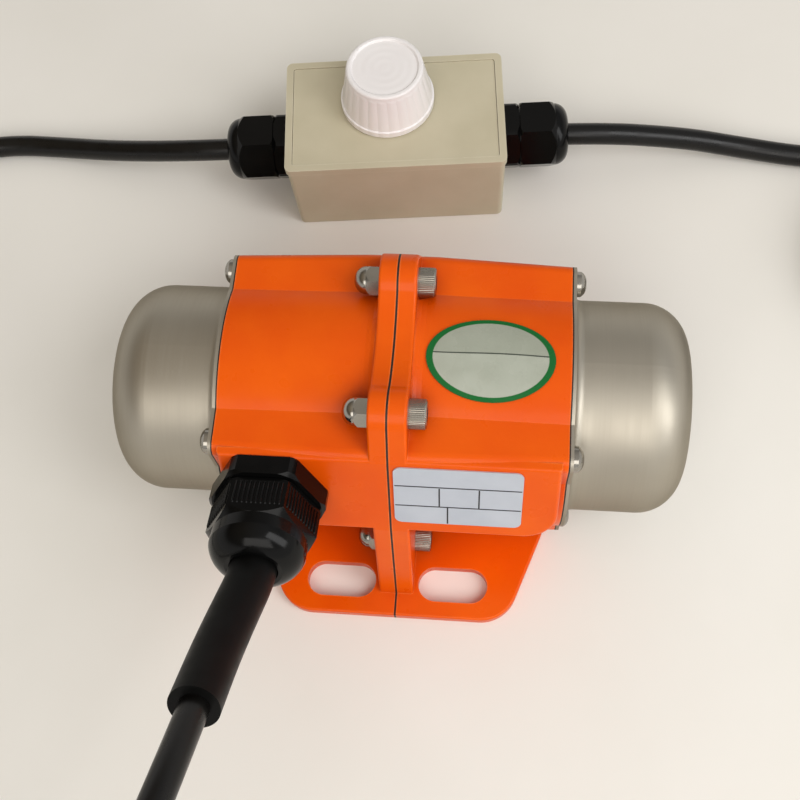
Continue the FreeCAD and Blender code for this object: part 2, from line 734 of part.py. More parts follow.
def race(bore, outside):
    """Plain ring with the ball groove cut into it."""
    middle = bearing_middle()
    half = BEARING_WIDTH / 2
    groove = Part.makeTorus(BEARING_PITCH_R, BALL_R + RUNNING, Vector(middle, 0, 0), Vector(1, 0, 0))
    return on_shaft(ring(bore, outside, middle - half, middle + half).cut(groove))


def outer_race():
    return race(OUTER_SHOULDER_R, BEARING_R - SEAT)


def inner_race():
    return race(SHAFT_R + PRESS, INNER_SHOULDER_R)


def bearing_balls():
    ball = Part.makeSphere(BALL_R, Vector(bearing_middle(), 0, BEARING_PITCH_R))
    return on_shaft(Part.makeCompound(around_shaft(ball, BALLS)))


def bearing_cage():
    middle = bearing_middle()
    band = ring(*BALL_CAGE, middle - BALL_CAGE_HALF, middle + BALL_CAGE_HALF)
    pocket = Part.makeSphere(BALL_R + RUNNING, Vector(middle, 0, BEARING_PITCH_R))
    return on_shaft(band.cut(around_shaft(pocket, BALLS)))


# ================================================================ eccentric weights
def weight(start, spacer_from=None):
    """Half disc on a hub that is clamped to the shaft by a set screw in its top."""
    end = start + WEIGHT_WIDTH
    disc = along_x(WEIGHT_R, start, end)
    heavy = disc.cut(box(start - 1, end + 1, -WEIGHT_R - 1, WEIGHT_R + 1, WEIGHT_OVER_AXIS, WEIGHT_R + 1))
    edges = [e for e in heavy.Edges if e.Length > 2 * WEIGHT_R]
    solid = fused(heavy.makeChamfer(0.6, edges), along_x(WEIGHT_HUB_R, start, end))
    if spacer_from is not None:
        solid = fused(solid, along_x(SPACER_R, spacer_from, start + 1))
    middle = (start + end) / 2
    tapped = Part.makeCylinder(SET_SCREW_R + SEAT, WEIGHT_HUB_R + 1, Vector(middle, 0, 0), Vector(0, 0, 1))
    return on_shaft(solid.cut([along_x(SHAFT_R + PRESS, start - 20, end + 1), tapped]))


def set_screw(start):
    """Socket set screw in a weight's hub."""
    middle = start + WEIGHT_WIDTH / 2
    low = SHAFT_R + SEAT
    stem = Part.makeCylinder(SET_SCREW_R, WEIGHT_HUB_R - low - 0.4, Vector(middle, 0, low), Vector(0, 0, 1))
    key = placed(hexagon(2.5, 0, 3), Placement(Vector(middle, 0, WEIGHT_HUB_R - 2.4), Rotation(Vector(0, 1, 0), -90)))
    return on_shaft(stem.cut(key))


def retaining_ring():
    start = ring_groove() + PRESS / 2
    band = ring(SHAFT_R - GROOVE_DEPTH + PRESS, RING_R, start, start + RING_WIDTH)
    gap = box(start - 1, start + RING_WIDTH + 1, -1.6, 1.6, 0, RING_R + 1)
    return on_shaft(band.cut(gap))


# ================================================================ cable glands
def gland_body(size):
    """Threaded end, hexagon and the spigot under the nut, along +X from the wall's face."""
    inner = size["hold_r"] + 2 * LOOSE
    corner = size["corner_r"]
    blank = turned((0, 0), [(0, corner), (size["hex"] - 1.0, corner), (size["hex"], corner - 1.0),
                            (size["hex"], 0)])
    solid = fused(along_x(size["thread_r"], -size["thread"], 0),
                  hexagon(size["across"], 0, size["hex"]).common(blank),
                  along_x(size["thread_r"] - LOOSE, size["hex"] - 1, size["hex"] + size["spigot"]))
    return solid.cut(along_x(inner, -size["thread"] - 1, size["hex"] + size["spigot"] + 1))


def gland_nut(size):
    """Hexagonal nut that runs out into a dome round the cable."""
    start = size["hex"] + LOOSE
    flats = start + size["nut"]
    end = flats + size["dome"]
    radius = 0.5 * size["nut_across"]
    hole = size["hold_r"] + LOOSE
    lip = hole + 1.2
    corner = size["nut_across"] / math.sqrt(3)
    blank = turned((start, 0), [
        (start, corner - 0.8), (start + 0.8, corner), (flats - 2.0, corner), (flats, radius),
        ((flats + 0.72 * size["dome"], lip + 0.72 * (radius - lip)), (end, lip)), (end, 0),
    ])
    outside = blank.common(fused(hexagon(size["nut_across"], start, flats), along_x(radius, start, end)))
    cavity = size["hex"] + size["spigot"] + LOOSE
    seal_end = cavity + 0.5 * (end - cavity)
    return outside.cut([along_x(size["thread_r"] - LOOSE + SEAT, start - 1, cavity),
                        along_x(seal_r(size) + SEAT, cavity - 1, seal_end + LOOSE),
                        along_x(hole, cavity, end + 1)])


def seal_r(size):
    return 0.5 * (size["hold_r"] + size["thread_r"]) + 0.4


def gland_seal(size):
    cavity = size["hex"] + size["spigot"] + LOOSE
    end = size["hex"] + LOOSE + size["nut"] + size["dome"]
    return ring(size["hold_r"] + PRESS, seal_r(size), cavity, cavity + 0.5 * (end - cavity))


def gland_tip(size):
    return size["hex"] + LOOSE + size["nut"] + size["dome"]


def on_pad(shape):
    return placed(shape, gland_placement())


# ================================================================ cords
def corner_radius(before, corner, after):
    """Largest bend that the two runs at a point allow."""
    first, second = corner - before, after - corner
    half = first.getAngle(second) / 2
    return 0.45 * min(first.Length, second.Length) / math.tan(half)


def route_edges(points):
    """Straight runs joined by tangent arcs."""
    points = [Vector(*p) for p in points]
    edges = []
    here = points[0]
    for before, corner, after in zip(points, points[1:], points[2:]):
        radius = corner_radius(before, corner, after)
        inward = (before - corner).normalize()
        onward = (after - corner).normalize()
        half = inward.getAngle(onward) / 2
        tangent = radius / math.tan(half)
        middle = (inward + onward).normalize()
        enter = corner + inward * tangent
        leave = corner + onward * tangent
        through = corner + middle * (radius / math.sin(half) - radius)
        edges.append(Part.LineSegment(here, enter).toShape())
        edges.append(Part.Arc(enter, through, leave).toShape())
        here = leave
    edges.append(Part.LineSegment(here, points[-1]).toShape())
    return edges


def tube(edges, outer, inner=0.0):
    """Round tube along edges, hollow when it has an inner radius."""
    spine = Part.Wire(edges)
    start = spine.Edges[0].valueAt(spine.Edges[0].FirstParameter)
    heading = spine.Edges[0].tangentAt(spine.Edges[0].FirstParameter)
    skins = []
    for radius in (outer, inner):
        if radius:
            section = Part.Wire(Part.makeCircle(radius, start, heading))
            skins.append(spine.makePipeShell([section], True, False))
    return skins[0] if len(skins) == 1 else skins[0].cut(skins[1])


def report_route(name, points, radius):
    """Prints the bends of a route and compares the tube's volume with section times length."""
    points = [Vector(*p) for p in points]
    bends = [corner_radius(*three) for three in zip(points, points[1:], points[2:])]
    edges = route_edges(points)
    length = sum(e.Length for e in edges)
    share = tube(edges, radius).Volume / (math.pi * radius ** 2 * length)
    print(name, "length %.0f, tightest bend %.0f, volume share %.4f" % (length, min(bends), share))
    print("  bends", [round(b) for b in bends])


def lead_points():
    """Motor lead: straight out of the motor's gland, round to the controller's left gland."""
    normal = pad_normal()
    base = pad_point(GLAND_ALONG_PAD, GLAND_X)
    tip = box_point(-BOX[0] / 2 - gland_tip(BOX_GLAND) - 9, 0, BOX[2] / 2)
    inside = box_point(-BOX[0] / 2 - BOX_GLAND["hex"], 0, BOX[2] / 2)
    return [base + normal * LEAD_START, base + normal * LEAD_BEND] + LEAD_ROUTE + [tip, inside]


def supply_points():
    """Supply lead: out of the controller's right gland and into the coil."""
    inside = box_point(BOX[0] / 2 + BOX_GLAND["hex"], 0, BOX[2] / 2)
    tip = box_point(BOX[0] / 2 + gland_tip(BOX_GLAND) + 9, 0, BOX[2] / 2)
    end = (COIL_CENTRE[0], COIL_CENTRE[1] + COIL_OUTER_R, CABLE_R + 0.1)
    return [inside, tip] + SUPPLY_ROUTE + [end]


def motor_lead():
    return tube(route_edges(lead_points()), CABLE_R)


def cable_sleeve():
    """Rubber sleeve over the lead's first two bends, on the lead's own line."""
    edges = route_edges(lead_points())[:5]
    last = edges.pop()
    start = last.valueAt(last.FirstParameter)
    heading = last.tangentAt(last.FirstParameter)
    edges.append(Part.LineSegment(start, start + heading * SLEEVE_LAST_RUN).toShape())
    return tube(edges, SLEEVE_R, CABLE_R + PRESS)


def supply_coil(clear=0.0):
    """The coiled lead's outer shape: two turns side by side, two deep."""
    inner = COIL_INNER_R - COIL_PITCH / 2 - clear
    outer = COIL_OUTER_R + COIL_PITCH / 2 + clear
    low, high = -clear, 2 * COIL_PITCH + clear
    corners = [(inner, low, CABLE_R), (outer, low, CABLE_R), (outer, high, CABLE_R), (inner, high, CABLE_R)]
    start, steps = rounded(corners)
    wire = closed_wire(lambda r, z: Vector(r, 0, z), start, steps)
    solid = Part.Face(wire).revolve(Vector(0, 0, 0), Vector(0, 0, 1), 360)
    return moved(solid, COIL_CENTRE[0], COIL_CENTRE[1], 0)


def supply_lead():
    return tube(route_edges(supply_points()), CABLE_R).cut(supply_coil(LOOSE))


def plug_entry():
    return Vector(PLUG_AT[0], PLUG_AT[1], PLUG[2] / 2)


def supply_tail():
    points = TAIL_ROUTE + [plug_entry()]
    return tube(route_edges(points), CABLE_R).cut(supply_coil(LOOSE))


# ================================================================ plug
def plug_placement():
    return Placement(plug_entry(), Rotation(Vector(0, 0, 1), PLUG_HEADING))


def plug_section(x, width, height, corner):
    corners = [(sy * width / 2, sz * height / 2, corner)
               for sy, sz in ((-1, -1), (1, -1), (1, 1), (-1, 1))]
    start, steps = rounded(corners)
    return closed_wire(cross_plane(x), start, steps)


def plug_body():
    """Moulded body with its tapered strain relief, along +X from the cable."""
    length, width, height = PLUG
    neck = 2 * CABLE_R + 5
    relief = turned((0, 0), [(0, CABLE_R + 0.9), (PLUG_RELIEF, neck / 2), (PLUG_RELIEF + 2, 0)])
    sections = [plug_section(PLUG_RELIEF - 1, neck, neck, 0.45 * neck),
                plug_section(PLUG_RELIEF + 0.35 * length, 0.92 * width, height, 0.4 * height),
                plug_section(PLUG_RELIEF + length, width, height, 0.4 * height)]
    solid = fused(Part.makeLoft(sections, True, True), relief)
    return placed(solid, plug_placement())


def plug_pins():
    start = PLUG_RELIEF + PLUG[0]
    pins = []
    for side in (-1, 1):
        y = side * PLUG_PIN_SPACING / 2
        pin = along_x(PLUG_PIN_R, start, start + PLUG_PIN, y)
        tip = [e for e in pin.Edges if abs(e.CenterOfMass.x - start - PLUG_PIN) < 1e-3]
        pins.append(pin.makeFillet(0.9, tip))
    return placed(Part.makeCompound(pins), plug_placement())


# ================================================================ controller
def box_placement():
    return Placement(Vector(BOX_CENTRE[0], BOX_CENTRE[1], 0), Rotation(Vector(0, 0, 1), BOX_YAW))


def in_box(shape):
    return placed(shape, box_placement())


def box_point(u, v, z):
    return box_placement().multVec(Vector(u, v, z))


def rounded_rectangle(length, width, corner, z):
    corners = [(su * length / 2, sv * width / 2, corner)
               for su, sv in ((-1, -1), (1, -1), (1, 1), (-1, 1))]
    start, steps = rounded(corners)
    return closed_wire(flat_plane(z), start, steps)


def drafted_block(inset, bottom, top):
    """Block that follows the case's drafted sides, this far inside them."""
    sections = []
    for z in (bottom, top):
        shrink = 2 * inset + 2 * BOX_DRAFT * (1 - z / BOX[2])
        sections.append(rounded_rectangle(BOX[0] - shrink, BOX[1] - shrink,
                                          max(BOX_CORNER_R - 0.5 * inset, 0.6), z))
    return Part.makeLoft(sections, True, True)


def board_posts():
    return [(su * (BOARD[0] / 2 - 4), sv * (BOARD[1] / 2 - 4)) for su in (-1, 1) for sv in (-1, 1)]


def controller_case():
    top = BOX[2] + BOX_RIM
    shell = drafted_block(0, 0, top)
    base_edges = [e for e in shell.Edges if all(abs(v.Z) < 1e-4 for v in e.Vertexes)]
    proud, high = BEAD
    shell = fused(shell.makeFillet(0.8, base_edges), drafted_block(-proud, top - high, top))
    ledge = BOX[2] - LID
    cuts = [drafted_block(LID_EDGE + LEDGE, BOX_WALL, ledge + 1),
            drafted_block(LID_EDGE, ledge, top + 1)]
    for side in (-1, 1):
        cuts.append(along_x(BOX_GLAND["thread_r"] + SEAT, side * BOX[0] / 2 - 6, side * BOX[0] / 2 + 6,
                            0, BOX[2] / 2))
    shell = shell.cut(cuts)
    posts = [Part.makeCylinder(POST_R, BOARD_HEIGHT - BOX_WALL + 0.5, Vector(u, v, BOX_WALL - 0.5))
             for u, v in board_posts()]
    return in_box(fused(shell, *posts))


def controller_lid():
    height = BOX[2]
    plate = drafted_block(LID_EDGE + SEAT * 3, height - LID, height)
    hole = Part.makeCylinder(BUSHING_R + SEAT, LID + 2, Vector(*KNOB_AT, height - LID - 1))
    return in_box(plate.cut(hole))


def turned_up(start, steps):
    """Closed outline of (radius, z), turned about the knob's axis."""
    wire = closed_wire(lambda r, z: Vector(r, 0, z), start, steps)
    solid = Part.Face(wire).revolve(Vector(0, 0, 0), Vector(0, 0, 1), 360)
    return in_box(moved(solid, *KNOB_AT, 0))


def controller_knob():
    """Conical knob: a rim at its foot, a dished top and a hub on the shaft."""
    low = BOX[2] + 2 * LOOSE
    top = low + KNOB_HEIGHT
    rim = 2.2
    edge = 0.8
    hub = POT_SHAFT_R + 2.6
    roof = top - 3.2
    bore = POT_SHAFT_R + PRESS
    nut_top = BOX[2] + POT_NUT[1] + 2 * LOOSE
    steps = [
        (KNOB_BASE_R, low), (KNOB_BASE_R, low + rim), (KNOB_BASE_R - 0.5, low + rim + 0.3),
        (KNOB_TOP_R, top - edge), ((KNOB_TOP_R - 0.3 * edge, top - 0.3 * edge), (KNOB_TOP_R - edge, top)),
        (KNOB_TOP_R - 1.5, top), (KNOB_TOP_R - 2.1, top - 0.6), (0, top - 0.6),
        (0, top - 2.0), (bore, top - 2.0), (bore, nut_top + 1.5), (hub, nut_top + 1.5),
        (hub, roof), (KNOB_TOP_R - KNOB_WALL, roof),
    ]
    return turned_up((KNOB_BASE_R - KNOB_WALL, low), steps)


def potentiometer_body():
    """Can under the lid and the threaded bushing through it."""
    under = BOX[2] - LID
    bore = POT_SHAFT_R + 2 * SEAT
    return turned_up((bore, under - POT_DEPTH), [
        (POT_R, under - POT_DEPTH), (POT_R, under), (BUSHING_R, under),
        (BUSHING_R, BOX[2] + POT_NUT[1] + LOOSE), (bore, BOX[2] + POT_NUT[1] + LOOSE),
    ])


def potentiometer_shaft():
    bottom = BOX[2] - LID - POT_DEPTH
    top = BOX[2] + 2 * LOOSE + KNOB_HEIGHT - 2.0 - LOOSE
    stem = Part.makeCylinder(POT_SHAFT_R, top - bottom, Vector(*KNOB_AT, bottom))
    return in_box(stem)


def potentiometer_nut():
    across, thickness = POT_NUT
    radius = across / math.sqrt(3)
    corners = [(KNOB_AT[0] + radius * math.cos(math.radians(60 * k)),
                KNOB_AT[1] + radius * math.sin(math.radians(60 * k)), 0) for k in range(6)]
    nut = prism(corners, flat_plane(BOX[2]), Vector(0, 0, thickness))
    return in_box(nut.cut(Part.makeCylinder(BUSHING_R + SEAT, thickness + 2, Vector(*KNOB_AT, BOX[2] - 1))))


def circuit_board():
    length, width, thickness = BOARD
    return in_box(box(-length / 2, length / 2, -width / 2, width / 2,
                      BOARD_HEIGHT + SEAT, BOARD_HEIGHT + SEAT + thickness))


def board_top():
    return BOARD_HEIGHT + SEAT + BOARD[2]


def run_capacitor():
    length, width, height = CAPACITOR
    u = -BOARD[0] / 2 + length / 2 + 1
    solid = box(u - length / 2, u + length / 2, -width / 2, width / 2, board_top(), board_top() + height)
    upright = [e for e in solid.Edges if abs(e.tangentAt(e.FirstParameter).z) > 0.9]
    return in_box(solid.makeFillet(1.5, upright))


def triac():
    """Three-legged power device standing on the board: body and mounting tab."""
    length, width, height = TRIAC
    u, base = BOARD[0] / 2 - 12, board_top()
    body = box(u - length / 2, u + length / 2, 0, width, base + 1.5, base + 1.5 + 0.6 * height)
    tab = box(u - length / 2, u + length / 2, 0, 1.3, base + 1.5, base + 1.5 + height)
    eye = Part.makeCylinder(1.8, 4, Vector(u, -1, base + 1.5 + 0.82 * height), Vector(0, 1, 0))
    legs = [box(u + k * 2.5 - 0.4, u + k * 2.5 + 0.4, 2, 2.6, base, base + 2) for k in (-1, 0, 1)]
    return in_box(fused(body, tab, *legs).cut(eye))


def box_gland(make, side):
    """A piece of the gland on the controller's right (+1) or left (-1) end."""
    shape = moved(make(BOX_GLAND), BOX[0] / 2, 0, BOX[2] / 2)
    return in_box(shape if side > 0 else mirrored(shape))


def box_locknut(size):
    inside = -LID_EDGE - LEDGE - BOX_DRAFT - LOOSE
    nut = hexagon(LOCKNUT_ACROSS, inside - LOCKNUT, inside)
    return nut.cut(along_x(size["thread_r"] + SEAT, inside - LOCKNUT - 1, inside + 1))


def box_pair(make):
    return Part.makeCompound([box_gland(make, -1), box_gland(make, 1)])


# ================================================================ plates
def rating_plate():
    """Thin bare plate on the right pad."""
    width, height, thickness, corner = 36.0, 23.9, 0.4, 2.2
    left = SEAM_GASKET / 2 + 1.1
    middle_up = 17.1
    tilt = math.radians(PAD_TILT)

    def on_face(a, b):
        return pad_point(middle_up + b, left + width / 2 + a)

    corners = [(sa * width / 2, sb * height / 2, corner)
               for sa, sb in ((-1, -1), (1, -1), (1, 1), (-1, 1))]
    return prism(corners, on_face, pad_normal() * thickness)


def inspection_sticker():
    """Thin oval label that follows the drafted barrel."""
    long_half, short_half, thickness = 17.9, 12.1, 0.25
    x, lean = HOUSING_HALF - 22.4, 2.5
    draft = (BARREL_SEAM_R - BARREL_END_R) / (HOUSING_HALF - SEAM_GASKET / 2 - FLANGE_WIDTH - FLARE_LENGTH)

    def radius(at_x):
        return BARREL_END_R + (HOUSING_HALF - at_x) * draft

    x0, x1 = x - long_half - 1, x + long_half + 1
    low0, low1 = radius(x0) + LOOSE / 2, radius(x1) + LOOSE / 2
    skin = turned((x0, low0), [(x1, low1), (x1, low1 + thickness), (x0, low0 + thickness)])
    oval = Part.Ellipse(Vector(x, -lean, 0), long_half, short_half).toShape()
    column = Part.Face(Part.Wire(oval)).extrude(Vector(0, 0, BARREL_SEAM_R + 5))
    return on_shaft(skin.common(column))


# ================================================================ assembly
def nodes():
    inner = weight_start()
    outer = inner + WEIGHT_WIDTH + LOOSE
    spacer = bearing_end() + SEAT
    right = {
        "housing": housing_half(),
        "end_cover": end_cover(),
        "cover_gasket": cover_gasket(),
        "cover_screws": cover_screws(),
        "bearing_outer_race": outer_race(),
        "bearing_inner_race": inner_race(),
        "bearing_balls": bearing_balls(),
        "bearing_cage": bearing_cage(),
        "fixed_weight": weight(inner, spacer),
        "adjustable_weight": weight(outer),
        "adjustable_weight_screw": set_screw(outer),
    }
    made = {}
    for name, shape in right.items():
        made["right_" + name] = shape
        made["left_" + name] = mirrored(shape)
    made["left_housing"] = left_housing()
    fixed_screw = set_screw(inner)
    keeper = retaining_ring()
    seat = SEAM_GASKET / 2 + FLANGE_WIDTH
    made.update({
        "flange_gasket": seam_gasket(),
        "flange_cap_screws": at_flange_bolts(cap_screw(), seat),
        "flange_acorn_nuts": at_flange_bolts(acorn_nut(), -seat),
        "stator_core": stator_core(),
        "stator_windings": stator_windings(),
        "rotor_core": rotor_core(),
        "rotor_cage": rotor_cage(),
        "shaft": shaft(),
        "fixed_weight_screws": Part.makeCompound([fixed_screw, mirrored(fixed_screw)]),
        "shaft_retaining_rings": Part.makeCompound([keeper, mirrored(keeper)]),
        "motor_gland_body": on_pad(gland_body(MOTOR_GLAND)),
        "motor_gland_nut": on_pad(gland_nut(MOTOR_GLAND)),
        "motor_gland_seal": on_pad(gland_seal(MOTOR_GLAND)),
        "cable_sleeve": cable_sleeve(),
        "motor_lead": motor_lead(),
        "rating_plate": rating_plate(),
        "inspection_sticker": inspection_sticker(),
        "controller_case": controller_case(),
        "controller_lid": controller_lid(),
        "controller_knob": controller_knob(),
        "potentiometer_body": potentiometer_body(),
        "potentiometer_shaft": potentiometer_shaft(),
        "potentiometer_nut": potentiometer_nut(),
        "circuit_board": circuit_board(),
        "run_capacitor": run_capacitor(),
        "triac": triac(),
        "controller_left_gland": box_gland(gland_body, -1),
        "controller_right_gland": box_gland(gland_body, 1),
        "controller_left_gland_nut": box_gland(gland_nut, -1),
        "controller_right_gland_nut": box_gland(gland_nut, 1),
        "controller_gland_seals": box_pair(gland_seal),
        "controller_gland_locknuts": box_pair(box_locknut),
        "supply_lead": supply_lead(),
        "supply_coil": supply_coil(),
        "supply_tail": supply_tail(),
        "plug_body": plug_body(),
        "plug_pins": plug_pins(),
    })
    return made


def main():
    os.makedirs("parts", exist_ok=True)
    report_route("motor lead", lead_points(), CABLE_R)
    report_route("supply lead", supply_points(), CABLE_R)
    report_route("supply tail", TAIL_ROUTE + [plug_entry()], CABLE_R)
    made = nodes()
    for name, shape in made.items():
        print("%-30s valid %s solids %d volume %.0f" % (name, shape.isValid(), len(shape.Solids), shape.Volume))
        shape.exportStep("parts/" + name + ".step")
    print(len(made), "nodes")


main()
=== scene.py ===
import json
import math

import bpy
from mathutils import Matrix, Vector

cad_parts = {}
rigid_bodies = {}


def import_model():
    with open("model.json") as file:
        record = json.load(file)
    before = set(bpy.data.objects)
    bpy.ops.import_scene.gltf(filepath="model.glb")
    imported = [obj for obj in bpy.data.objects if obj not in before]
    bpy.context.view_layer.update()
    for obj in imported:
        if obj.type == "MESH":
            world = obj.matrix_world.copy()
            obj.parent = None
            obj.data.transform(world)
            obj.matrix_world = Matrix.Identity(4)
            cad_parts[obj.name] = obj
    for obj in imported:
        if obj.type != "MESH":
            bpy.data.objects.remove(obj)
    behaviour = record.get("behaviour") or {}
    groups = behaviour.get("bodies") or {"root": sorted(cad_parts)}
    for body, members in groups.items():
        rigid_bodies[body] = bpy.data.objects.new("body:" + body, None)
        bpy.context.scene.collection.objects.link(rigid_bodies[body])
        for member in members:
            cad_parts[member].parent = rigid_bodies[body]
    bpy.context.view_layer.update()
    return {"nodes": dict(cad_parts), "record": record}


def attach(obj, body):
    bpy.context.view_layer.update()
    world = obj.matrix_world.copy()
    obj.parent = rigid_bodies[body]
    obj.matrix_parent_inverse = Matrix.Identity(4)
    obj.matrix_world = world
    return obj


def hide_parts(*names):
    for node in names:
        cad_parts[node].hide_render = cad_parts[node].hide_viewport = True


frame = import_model()

BODY = "housing_and_leads"
SHAFT_HEIGHT = 0.0385


def add_object(name, data):
    thing = bpy.data.objects.new(name, data)
    bpy.context.scene.collection.objects.link(thing)
    return thing


# ---------------------------------------------------------------- camera
EYE = Vector((0.027946, -0.131505, 0.362453))
AIM = Vector((-0.004049, 0.01448, 0.0))
ROLL = -0.154
FOCAL = 51.12
SENSOR = 36.0


def make_camera():
    data = bpy.data.cameras.new("camera")
    data.lens = FOCAL
    data.sensor_width = SENSOR
    camera = add_object("camera", data)
    forward = (AIM - EYE).normalized()
    right = forward.cross(Vector((0, 0, 1))).normalized()
    up = right.cross(forward)
    across = math.cos(ROLL) * right + math.sin(ROLL) * up
    upright = -math.sin(ROLL) * right + math.cos(ROLL) * up
    turn = Matrix((across, upright, -forward)).transposed().to_4x4()
    camera.matrix_world = Matrix.Translation(EYE) @ turn
    bpy.context.scene.camera = camera


make_camera()

# ---------------------------------------------------------------- sloping pads and their gland
PAD_TILT = math.radians(21.4)
PAD_NORMAL = Vector((0, -math.cos(PAD_TILT), math.sin(PAD_TILT)))
PAD_UP = Vector((0, math.sin(PAD_TILT), math.cos(PAD_TILT)))
PAD_FOOT = Vector((0, -0.0435, SHAFT_HEIGHT + 0.003))
GLAND_ALONG = -0.0339
GLAND_UP = 0.0161
GLAND_BASE = PAD_FOOT + Vector((GLAND_ALONG, 0, 0)) + GLAND_UP * PAD_UP

# ---------------------------------------------------------------- cords
CABLE_R = 0.00385
BOX_CENTRE = Vector((-0.0108, 0.1082, 0.0))
BOX_YAW = math.radians(5.1)
BOX_HALF = 0.0376
BOX_MIDDLE = 0.01745
GLAND_TIP = 0.0233                    # how far a controller gland reaches from the case
CORD_END = 0.006                      # a cord ends inside the gland, this far from the case
CORD_STRAIGHT = 0.009                 # and runs straight this far past the gland's tip
LEAD_START = (0.0175, 0.0295)         # the lead's first two points, above the motor's pad
COIL_CENTRE = Vector((0.188, 0.072, 0.0))
COIL_INNER_R = 0.0354
COIL_OUTER_R = 0.0432
COIL_LOW = 0.00395
COIL_HIGH = 0.01165
COIL_TURNS = 3.25
TURN_POINTS = 16

# Millimetres, from the motor to the controller, to the coil and from the coil to the plug.
LEAD_ROUTE = [
    (-37.3, -86.5, 80.9), (-38.8, -123.5, 112.0), (-45.0, -151.5, 119.5), (-60.0, -177.0, 111.0),
    (-84.0, -193.0, 87.0), (-111.0, -197.0, 57.5), (-139.0, -192.0, 31.0), (-164.0, -178.0, 12.0),
    (-182.0, -154.0, 4.0), (-192.0, -118.0, 4.0), (-192.0, -72.0, 4.0), (-187.0, -22.0, 4.0),
    (-194.0, 24.0, 4.0), (-202.0, 62.0, 4.0), (-199.6, 82.0, 4.0), (-191.6, 97.0, 4.0),
    (-178.2, 107.4, 4.0), (-159.7, 111.3, 4.0), (-137.0, 110.0, 4.8), (-114.0, 106.0, 9.5),
]
SUPPLY_ROUTE = [(92.0, 118.6, 9.8), (113.0, 118.6, 5.0), (135.0, 115.8, 4.0), (160.0, 114.9, 4.0)]
TAIL_ROUTE = [(231.4, 50.0, 10.2), (229.6, 26.0, 8.6)]
PLUG_ENTRY = Vector((0.2262, 0.002, 0.0075))


def box_point(along):
    """Point on the line through the controller's two glands."""
    turned = Matrix.Rotation(BOX_YAW, 3, "Z") @ Vector((along, 0, 0))
    return BOX_CENTRE + turned + Vector((0, 0, BOX_MIDDLE))


def metres(points):
    return [0.001 * Vector(p) for p in points]


def blended(turns, stops):
    """Value at a number of turns, from (turns, value) stops joined by smooth steps."""
    for (t0, v0), (t1, v1) in zip(stops, stops[1:]):
        if turns <= t1:
            share = max(0.0, (turns - t0) / (t1 - t0))
            return v0 + (v1 - v0) * share * share * (3 - 2 * share)
    return stops[-1][1]


def coil_points():
    """Three and a quarter turns: outer and inner below, then inner and outer on top."""
    radii = [(0.0, COIL_OUTER_R), (0.7, COIL_OUTER_R), (1.0, COIL_INNER_R),
             (2.25, COIL_INNER_R), (2.6, COIL_OUTER_R), (COIL_TURNS, COIL_OUTER_R)]
    heights = [(0.0, COIL_LOW), (1.45, COIL_LOW), (1.8, COIL_HIGH), (COIL_TURNS, COIL_HIGH)]
    points = []
    for k in range(int(COIL_TURNS * TURN_POINTS) + 1):
        turns = k / TURN_POINTS
        angle = math.pi / 2 - 2 * math.pi * turns
        radius = blended(turns, radii)
        points.append(COIL_CENTRE + Vector((radius * math.cos(angle), radius * math.sin(angle),
                                            blended(turns, heights))))
    return points


def smooth(mesh):
    for face in mesh.polygons:
        face.use_smooth = True


def cord_tube(name, points):
    """Tube round one smooth spline through the route, and the line that it follows."""
    curve = bpy.data.curves.new(name + "_line", "CURVE")
    curve.dimensions = "3D"
    spline = curve.splines.new("NURBS")
    spline.points.add(len(points) - 1)
    for place, point in zip(spline.points, points):
        place.co = (point.x, point.y, point.z, 1.0)
    spline.order_u = 3
    spline.use_endpoint_u = True
    curve.resolution_u = 10
    route = bpy.data.objects.new(name + "_line", curve)
    line = [v.co.copy() for v in bpy.data.meshes.new_from_object(route).vertices]
    curve.bevel_depth = CABLE_R
    curve.bevel_resolution = 7
    curve.use_fill_caps = True
    mesh = bpy.data.meshes.new_from_object(route)
    mesh.name = name
    cord = add_object(name, mesh)
    bpy.data.objects.remove(route)
    bpy.data.curves.remove(curve)
    smooth(mesh)
    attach(cord, BODY)
    return cord, line


lead_points = [GLAND_BASE + reach * PAD_NORMAL for reach in LEAD_START]
lead_points += metres(LEAD_ROUTE)
lead_points += [box_point(-BOX_HALF - GLAND_TIP - CORD_STRAIGHT), box_point(-BOX_HALF - CORD_END)]
lead_cord, lead_line = cord_tube("motor_lead_cord", lead_points)
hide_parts("motor_lead")

supply_points = [box_point(BOX_HALF + CORD_END), box_point(BOX_HALF + GLAND_TIP + CORD_STRAIGHT)]
supply_points += metres(SUPPLY_ROUTE) + coil_points() + metres(TAIL_ROUTE) + [PLUG_ENTRY]
supply_cord, supply_line = cord_tube("supply_cord", supply_points)
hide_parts("supply_lead", "supply_coil", "supply_tail")
CONTROLLER = [name for name in frame["nodes"]
              if name.startswith(("controller_", "potentiometer_"))]
CONTROLLER += ["circuit_board", "run_capacitor", "triac"]

# ---------------------------------------------------------------- materials
NOISE_SPAN = (0.3, 0.7)               # the part of a noise that is spread over a whole range
# Edges take a lighter colour, part wear and part painted highlight.
EDGE_WEAR_HIGHLIGHT_SCALE = 320.0
EDGE_WEAR_HIGHLIGHT_SHARE = (0.18, 0.6)            # how much of the lighter edge colour, part wear and part painted highlight, an edge takes
# Painted shade: corners that ambient occlusion finds hidden take a darker colour.
CORNER_SHADE_REACH = 0.016                   # how far off a surface still darkens a corner with painted shade
CORNER_SHADE_SHARE = 0.5

STICKER_CENTRE = (0.0268, -0.0025)
STICKER_HALF = (0.0179, 0.0121)
STICKER_BORDER = (0.795, 0.815)       # squared share of the half axes where the border starts
STICKER_LINE = -0.0013                # Y of the line across the sticker
LINE_WAVES = 150.0                    # radians of a sine in a metre
LINE_SWAY = 0.00022
LINE_EDGE = (0.00015, 0.00025)        # distance from the line's middle over which it fades
LINE_INK = 0.9
ABOVE_LINE = 0.45                     # how much darker the film is above the line

